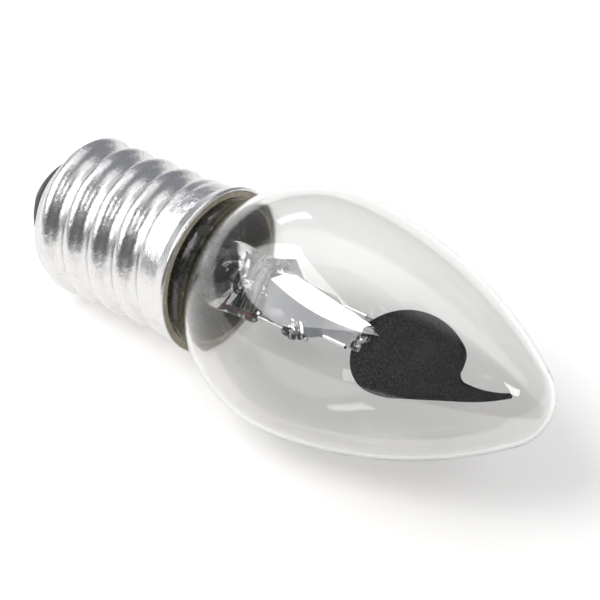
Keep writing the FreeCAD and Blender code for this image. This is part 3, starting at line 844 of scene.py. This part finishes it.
@dataclass
class GlassBulb:
    """The blown bulb: a neck and five tangent arcs, with a thin wall."""

    neck_r: float = 5.5
    neck_depth: float = 6.2
    neck_widening: tuple[Pair, ...] = (
        (0.0, -3.3), (0.06, -3.1), (0.60, -2.5), (0.72, -2.2), (0.80, -1.5))
    mouth_r: float = 6.6
    mouth_narrowing: tuple[Pair, ...] = ((0.15, -0.8), (0.03, -0.3))
    belly_z: float = 10.555
    neck_arc: float = 2.28
    shoulder_arc: float = 12.38
    belly_r: float = 10.52
    belly_arc: float = 23.8
    belly_turn_deg: float = 6.8
    flank_turn_deg: float = 34.7
    tip_arc: float = 4.02
    arc_parts: tuple[int, ...] = (10, 26, 8, 30, 20)
    wall: float = 0.38
    segments: int = 144

    def neck_end_z(self) -> float:
        """Returns the height at which the neck starts to flare."""
        return self.belly_z - (self.shoulder_arc + self.neck_arc) * math.sin(self.neck_turn())

    def neck(self, inset: float) -> list[Pair]:
        """Draws the outline of the neck, which follows the bore of the cap.

        Args:
            inset: depth under the outside of the glass.

        Returns:
            The points, each (radius, z), from the neck's end up.
        """
        places = [(self.neck_r, -self.neck_depth)]
        places += [(self.neck_r + wider, z) for wider, z in self.neck_widening]
        places += [(self.mouth_r - narrower, z) for narrower, z in self.mouth_narrowing]
        return [(radius - inset, z) for radius, z in places]

    def neck_turn(self) -> float:
        """Returns the angle through which the neck's arc turns."""
        return math.acos(1 - (self.belly_r - self.mouth_r) / (self.shoulder_arc + self.neck_arc))

    def outline(self, inset: float) -> list[Pair]:
        """Draws the outline from the neck's end to the tip.

        Args:
            inset: depth under the outside of the glass.

        Returns:
            The points, each (radius, z).
        """
        belly = math.radians(self.belly_turn_deg)
        flank = math.radians(self.flank_turn_deg)
        belly_end_r = self.belly_r - self.belly_arc * (1 - math.cos(belly))
        reach = belly_end_r - self.tip_arc * math.cos(flank)
        flank_arc = reach / (math.cos(belly) - math.cos(flank))
        spread = flank_arc - self.belly_arc
        flank_centre = (self.belly_r - self.belly_arc - spread * math.cos(belly),
                        self.belly_z - spread * math.sin(belly))
        tip_z = flank_centre[1] + (flank_arc - self.tip_arc) * math.sin(flank)
        turn = self.neck_turn()
        neck_centre = (self.mouth_r + self.neck_arc, self.neck_end_z())
        shoulder_centre = (self.belly_r - self.shoulder_arc, self.belly_z)
        belly_centre = (self.belly_r - self.belly_arc, self.belly_z)
        points = self.neck(inset)
        arcs = ((neck_centre, self.neck_arc + inset, math.pi, math.pi - turn),
                (shoulder_centre, self.shoulder_arc - inset, -turn, 0),
                (belly_centre, self.belly_arc - inset, 0, belly),
                (flank_centre, flank_arc - inset, belly, flank),
                ((0.0, tip_z), self.tip_arc - inset, flank, math.pi / 2))
        for arc, parts in zip(arcs, self.arc_parts):
            points += Shop.arc(*arc, parts, with_start=arc is arcs[0])
        return points

    def build(self) -> None:
        """Makes the bulb, with the inside of its wall, and closes the wall at the neck's end."""
        outside, inside = self.outline(0.0), self.outline(self.wall)
        for line in (outside, inside):
            line[-1] = (0.0, line[-1][1])
        mesh = Shop.spun(outside + inside[::-1], self.segments)
        rims = [edge for edge in mesh.edges if len(edge.link_faces) == 1]
        bmesh.ops.bridge_loops(mesh, edges=rims)
        bmesh.ops.recalc_face_normals(mesh, faces=mesh.faces)
        Shop.deliver(mesh, "bulb_glass", Palette.bulb_glass, "glass_bulb", "clear_glass",
                     LAMP.matrix())


@dataclass
class Cap:
    """The screw cap: threaded shell, insulator, contact, solder and the weld on the skirt."""

    pitch: float = 2.822
    crest_r: float = 6.85
    depth: float = 0.80
    clock_deg: float = -32.2
    crest_z: float = -14.98
    thread_end_z: float = -2.5
    runout: float = 1.4
    skirt_r: float = 6.88
    sheet: float = 0.25
    lip_r: float = 7.36
    lip_height: float = 0.45
    lip_flare: float = 0.8
    lip_parts: int = 10
    flare_ease: Pair = (0.02, 0.06)
    mouth_start_z: float = -1.25
    mouth_edge: Pair = (0.04, 0.02)
    shoulder_z: float = -14.75
    shoulder_arc: float = 0.60
    shoulder_slope_deg: float = 50.0
    shoulder_parts: int = 8
    cone_rows: int = 12
    end_z: float = -16.9
    end_wall: Pair = (0.2, 0.15)
    shoulder_room: float = 1.2
    thread_room: float = 1.0
    bore_step: float = 0.3
    weld_rise: float = 0.45
    row: float = 0.09
    segments: int = 192

    def thread_sink(self, z: float, degrees: float) -> float:
        """Works out the form of the knuckle thread.

        Args:
            z: height of the place.
            degrees: turn of the place about the axis, from the top side.

        Returns:
            How far the thread lies under its crests there.
        """
        crest_z = self.crest_z + self.pitch * (degrees - self.clock_deg) / 360
        turns = (z - crest_z) / self.pitch
        away = abs(turns - round(turns)) * self.pitch
        half = self.pitch / 2
        radius = half / (2 * math.sin(2 * math.atan(self.depth / half)))
        if away <= half / 2:
            return radius - math.sqrt(radius ** 2 - away ** 2)
        return self.depth - radius + math.sqrt(radius ** 2 - (half - away) ** 2)

    def thread_strength(self, z: float) -> float:
        """Works out how much of the thread is rolled in.

        Args:
            z: height of the place.

        Returns:
            One along the thread, falling smoothly to nothing where it runs out.
        """
        share = min(1.0, max(0.0, (self.thread_end_z - z) / self.runout))
        return share * share * (3 - 2 * share)

    def outline(self) -> list[Pair]:
        """Draws the shell's outside, before the thread is rolled.

        Returns:
            The points, each (radius, z), from the lip to the closing edge.
        """
        half_lip = self.lip_height / 2
        slope = math.radians(self.shoulder_slope_deg)
        points = Shop.arc((self.lip_r - half_lip, -half_lip), half_lip, math.pi / 2, -math.pi / 2,
                          self.lip_parts)
        flare_z = -self.lip_height - self.lip_flare
        points.append((self.skirt_r + self.flare_ease[0], flare_z + self.flare_ease[1]))
        rows = round((flare_z - self.shoulder_z) / self.row)
        points += [(self.skirt_r, flare_z + (self.shoulder_z - flare_z) * row / rows)
                   for row in range(rows + 1)]
        points += Shop.arc((self.skirt_r - self.shoulder_arc, self.shoulder_z), self.shoulder_arc,
                           0, -slope, self.shoulder_parts, with_start=False)
        start_r, start_z = points[-1]
        length = (start_z - self.end_z) / math.cos(slope)
        for row in range(1, self.cone_rows + 1):
            run = length * row / self.cone_rows
            points.append((start_r - run * math.sin(slope), start_z - run * math.cos(slope)))
        return points

    def build_shell(self) -> None:
        """Makes the shell, rolls its thread and gives it its wall."""
        outside = self.outline()
        bore_r = self.skirt_r - self.sheet
        inside = [(outside[-1][0] - self.end_wall[0], outside[-1][1] + self.end_wall[1]),
                  (bore_r - self.shoulder_room, self.shoulder_z),
                  (bore_r - self.thread_room, self.thread_end_z - self.bore_step),
                  (bore_r, self.thread_end_z),
                  (bore_r, self.mouth_start_z),
                  (self.lip_r - self.lip_height / 2 - self.mouth_edge[0], -self.mouth_edge[1])]
        mesh = Shop.spun(outside + inside, self.segments, closed=True)
        root = self.skirt_r - self.depth - self.sheet
        for vert in mesh.verts:
            x, y, z = vert.co
            radius = math.hypot(x, y)
            if z > self.thread_end_z or radius < root:
                continue
            degrees = math.degrees(math.atan2(y, x))
            rolled = self.crest_r - self.thread_sink(z, degrees)
            lifted = self.skirt_r + (rolled - self.skirt_r) * self.thread_strength(z)
            target = min(radius, lifted)
            vert.co = Vector((x, y, 0)) * (target / radius) + Vector((0, 0, z))
        Shop.deliver(mesh, "cap_shell", Palette.cap, "screw_shell", "cap_metal", LAMP.matrix(),
                     sharp_deg=50.0)

    def flat_weld(self) -> bmesh.types.BMesh:
        """Copies the weld on the skirt and presses it flatter.

        Returns:
            The mesh, in world metres.
        """
        mesh = Shop.from_node("side_weld")
        to_world = LAMP.matrix()
        to_lamp = to_world.inverted()
        for vert in mesh.verts:
            place = to_lamp @ vert.co
            radius = math.hypot(place.x, place.y)
            if radius > self.skirt_r:
                scale = (self.skirt_r + (radius - self.skirt_r) * self.weld_rise) / radius
                vert.co = to_world @ Vector((place.x * scale, place.y * scale, place.z))
        return mesh

    def build(self) -> None:
        """Makes the shell and dresses the rest of the cap."""
        self.build_shell()
        Shop.deliver(Shop.from_node("insulator"), "insulator_glass", Palette.insulator, "insulator",
                     "black_insulator")
        Shop.deliver(Shop.from_node("contact_solder"), "contact_solder_dome", Palette.solder,
                     "contact_solder", "solder")
        Shop.deliver(self.flat_weld(), "skirt_weld", Palette.skirt_weld, "side_weld", "solder")
        Shop.dress("centre_contact", Palette.contact)


@dataclass
class CappingCement:
    """The cement between the neck and the shell, wetting the glass of the neck."""

    top_z: float = -0.06
    low_z: float = -6.0
    mouth_r: float = 7.06
    bore_r: float = 6.60
    bore_z: Pair = (-1.3, -2.45)
    outer_r: float = 5.62
    outer_start_z: float = -2.85
    wetting: float = 0.04
    segments: int = 144

    def build(self) -> None:
        """Makes the ring, whose inner side lies a little in the glass."""
        bulb = GlassBulb()
        inner = [(radius - self.wetting, max(z, self.low_z)) for radius, z in bulb.neck(0.0)]
        inner.append((bulb.mouth_r - self.wetting, self.top_z))
        outer = [(self.mouth_r, self.top_z), *((self.bore_r, z) for z in self.bore_z),
                 (self.outer_r, self.outer_start_z), (self.outer_r, self.low_z)]
        mesh = Shop.spun(inner + outer, self.segments, closed=True)
        Shop.deliver(mesh, "cement_ring", Palette.cement, "capping_cement", "cement", LAMP.matrix(),
                     sharp_deg=25.0)


@dataclass
class Stem:
    """The glass stem with its exhaust tube, and the wires sealed in it."""

    seal: float = 0.012

    def sealed(self, node: str) -> bmesh.types.BMesh:
        """Copies a wire and grows it a little, so that it meets the glass around it.

        Args:
            node: the wire's node.

        Returns:
            The mesh, in world metres.
        """
        mesh = Shop.from_node(node)
        bmesh.ops.recalc_face_normals(mesh, faces=mesh.faces)
        mesh.normal_update()
        for vert in mesh.verts:
            vert.co += vert.normal * self.seal * MM
        return mesh

    def build(self) -> None:
        """Smooths the glass, the wires and the resistor, and dresses them."""
        for node, name in (("stem", "stem_glass"), ("exhaust_tube", "exhaust_glass")):
            Shop.deliver(Shop.from_node(node), name, Palette.stem_glass, node, "stem_glass")
        for node in ("seal_wire_upper", "seal_wire_lower"):
            Shop.deliver(self.sealed(node), node + "_copper", Palette.seal_wire, node, "seal_wire")
        for node in ("lead_to_shell", "lead_to_resistor", "lead_to_contact"):
            Shop.deliver(Shop.from_node(node), node + "_wire", Palette.lead, node, "lead_wire")
        Shop.deliver(Shop.from_node("ballast_resistor"), "resistor", Palette.resistor,
                     "ballast_resistor", "resistor_body")


@dataclass
class FlamePlates:
    """The two flames on their shanks, with the welds that hold them."""

    lumps: tuple[Pair, ...] = ((1.6, 0.16), (4.5, 0.06))
    bead_cuts: int = 2
    bead_sharp_deg: float = 60.0
    plate_cut: float = 0.15
    cut_merge: float = 0.004

    def bent(self, node: str, side: Side) -> bmesh.types.BMesh:
        """Copies a shank, cuts it finely and bends it as its finish says.

        Args:
            node: the shank's node.
            side: the face of the mount that it is on.

        Returns:
            The mesh, in lamp millimetres.
        """
        mesh = Shop.from_node(node)
        bmesh.ops.transform(mesh, matrix=LAMP.matrix().inverted(), verts=mesh.verts)
        along = Vector((0.0, 0.0, 1.0))
        across = LAMP.across()
        outwards = along.cross(across) * side.value
        for way in (across, along):
            places = [vert.co.dot(way) for vert in mesh.verts]
            low, high = min(places), max(places)
            for step in range(1, math.ceil((high - low) / self.plate_cut)):
                parts = mesh.verts[:] + mesh.edges[:] + mesh.faces[:]
                bmesh.ops.bisect_plane(mesh, geom=parts, dist=MERGE_MM, plane_no=way,
                                       plane_co=way * (low + step * self.plate_cut))
        bmesh.ops.triangulate(mesh, faces=mesh.faces)
        bmesh.ops.remove_doubles(mesh, verts=mesh.verts, dist=self.cut_merge)
        for vert in mesh.verts:
            vert.co += outwards * Palette.steel.plate_form(vert.co.dot(across), vert.co.z)
        bmesh.ops.recalc_face_normals(mesh, faces=mesh.faces)
        return mesh

    def lumpy(self, node: str) -> bmesh.types.BMesh:
        """Copies a weld and makes its surface lumpy.

        Args:
            node: the weld's node.

        Returns:
            The mesh, in world metres.
        """
        mesh = Shop.from_node(node)
        bmesh.ops.subdivide_edges(mesh, edges=mesh.edges, cuts=self.bead_cuts, use_grid_fill=True)
        bmesh.ops.triangulate(mesh, faces=mesh.faces)
        bmesh.ops.recalc_face_normals(mesh, faces=mesh.faces)
        mesh.normal_update()
        for vert in mesh.verts:
            push = sum(abs(noise.noise(vert.co * (scale / MM))) * depth
                       for scale, depth in self.lumps)
            vert.co -= vert.normal * push * MM
        return mesh

    def build(self) -> None:
        """Remakes the shanks and the welds, and dresses the flames."""
        for side in Side:
            face = side.name.lower()
            shank = "shank_" + face
            Shop.deliver(self.bent(shank, side), f"shank_plate_{face}", Palette.steel, shank,
                         "bare_plate", LAMP.matrix())
            Shop.dress("flame_" + face, Palette.coat)
            for node, name in ((f"seal_weld_{face}", f"seal_bead_{face}"),
                               (f"flame_weld_{face}", f"flame_beads_{face}")):
                Shop.deliver(self.lumpy(node), name, Palette.weld, node, "weld_metal",
                             sharp_deg=self.bead_sharp_deg)


@dataclass(frozen=True)
class Softbox:
    """A large soft light, seen from the lamp in one direction."""

    name: str
    azimuth_deg: float
    elevation_deg: float
    width: float
    height: float
    radiance: float
    distance: float = 0.9
    roll_deg: float = 0.0
    reflected: bool = True

    def build(self, target: Vector) -> None:
        """Makes the light, facing a point.

        Args:
            target: the point, in metres.
        """
        away = way_to(self.azimuth_deg, self.elevation_deg)
        light = bpy.data.lights.new(self.name, "AREA")
        light.shape = "RECTANGLE"
        light.size = self.width
        light.size_y = self.height
        light.energy = self.radiance * math.pi * self.width * self.height
        lamp = bpy.data.objects.new(self.name, light)
        lamp.location = target + away * self.distance
        roll = Matrix.Rotation(math.radians(self.roll_deg), 3, "Z")
        lamp.rotation_euler = (away.to_track_quat("Z", "Y").to_matrix() @ roll).to_euler()
        lamp.visible_glossy = self.reflected
        lamp.visible_transmission = self.reflected
        bpy.context.scene.collection.objects.link(lamp)


@dataclass
class Studio:
    """The floor, the light and the camera."""

    floor_size: float = 6.0
    floor_colour: Colour = (0.500, 0.496, 0.490)
    glow_colour: Colour = (1.0, 0.985, 0.965)
    floor_glow: float = 0.45
    floor_roughness: float = 0.9
    floor_specular: float = 0.1
    dark_azimuth_deg: float = -50.0
    dark_elevation_deg: float = 40.0
    dark_edge: Pair = (0.72, 0.45)
    ceiling_edge: Pair = (0.54, 0.66)
    horizon_tilt: float = 0.25
    front_colour: Colour = (0.12, 0.12, 0.13)
    wall_colour: Colour = (0.27, 0.28, 0.31)
    ceiling_colour: Colour = (1.38, 1.38, 1.40)
    view_azimuth_deg: float = -50.7295
    view_elevation_deg: float = 45.6727
    view_distance: float = 261.668
    aim_mm: Triple = (1.8072, 0.0, 11.0045)
    lens: float = 192.0
    sensor_width: float = 36.0
    clip_start: float = 0.01
    softboxes: tuple[Softbox, ...] = (
        Softbox("left_front_box", azimuth_deg=-142, elevation_deg=46, width=0.95, height=0.68,
                radiance=2.8),
        Softbox("key_light", azimuth_deg=-106, elevation_deg=62, width=0.34, height=0.34,
                radiance=11.0, reflected=False),
        Softbox("back_window", azimuth_deg=146, elevation_deg=32, width=0.26, height=0.10,
                radiance=3.2),
        Softbox("tip_lamp", azimuth_deg=-13, elevation_deg=52, width=0.24, height=0.24,
                radiance=6.0, roll_deg=45.0),
    )

    def build_floor(self) -> None:
        """Makes the floor, a large pale sheet, lit a little from below as a light table is."""
        mesh = bmesh.new()
        bmesh.ops.create_grid(mesh, x_segments=1, y_segments=1, size=self.floor_size / 2)
        data = bpy.data.meshes.new("floor")
        mesh.to_mesh(data)
        mesh.free()
        floor = bpy.data.objects.new("floor", data)
        bpy.context.scene.collection.objects.link(floor)
        material = bpy.data.materials.new("pale_floor")
        material.use_nodes = True
        sheet = NodeSheet(material.node_tree)
        sheet.finish(sheet.surface(
            base_color=self.floor_colour, roughness=self.floor_roughness,
            specular_ior_level=self.floor_specular, emission_color=self.glow_colour,
            emission_strength=self.floor_glow))
        data.materials.append(material)

    def build_world(self) -> None:
        """Makes the room's light: pale overhead, and darker near the horizon and in front."""
        world = bpy.data.worlds.new("studio_room")
        bpy.context.scene.world = world
        world.use_nodes = True
        sheet = NodeSheet(world.node_tree)
        way = sheet.add("ShaderNodeTexCoord", {}, {}, "Generated")
        split = sheet.raw("ShaderNodeSeparateXYZ", {}, {0: way})
        y, z = (Signal(sheet, split.outputs[name]) for name in "YZ")
        height = z - y * self.horizon_tilt
        forward = sheet.dot(way, way_to(self.dark_azimuth_deg, self.dark_elevation_deg))
        behind = forward.ramp(*self.dark_edge)
        low = sheet.mix(behind, self.front_colour, self.wall_colour)
        overhead = height.ramp(*self.ceiling_edge) * behind
        colour = sheet.mix(overhead, low, self.ceiling_colour)
        light = sheet.add("ShaderNodeBackground", {}, {"Color": colour, "Strength": 1.0})
        sheet.finish(light, "ShaderNodeOutputWorld")

    def build_camera(self) -> None:
        """Puts the camera at the photograph's angle."""
        away = way_to(self.view_azimuth_deg, self.view_elevation_deg)
        data = bpy.data.cameras.new("camera")
        data.lens = self.lens
        data.sensor_width = self.sensor_width
        data.clip_start = self.clip_start
        camera = bpy.data.objects.new("camera", data)
        camera.location = (Vector(self.aim_mm) + away * self.view_distance) * MM
        camera.rotation_euler = away.to_track_quat("Z", "Y").to_euler()
        bpy.context.scene.collection.objects.link(camera)
        bpy.context.scene.camera = camera

    def build(self) -> None:
        """Builds the stage, the lights and the camera."""
        self.build_floor()
        self.build_world()
        for box in self.softboxes:
            box.build(Vector(self.aim_mm) * MM)
        self.build_camera()
        bpy.context.scene.view_settings.view_transform = "Standard"


def main() -> None:
    """Builds the lamp and its studio."""
    logging.basicConfig(level=logging.INFO, format="%(name)s %(message)s")
    parts: list[tuple[str, Callable[[], None]]] = [
        ("bulb", GlassBulb().build),
        ("cap", Cap().build),
        ("cement", CappingCement().build),
        ("stem", Stem().build),
        ("flames", FlamePlates().build),
        ("studio", Studio().build),
    ]
    for name, build in parts:
        build()
        log.info("%s built", name)


if __name__ == "__main__":
    main()
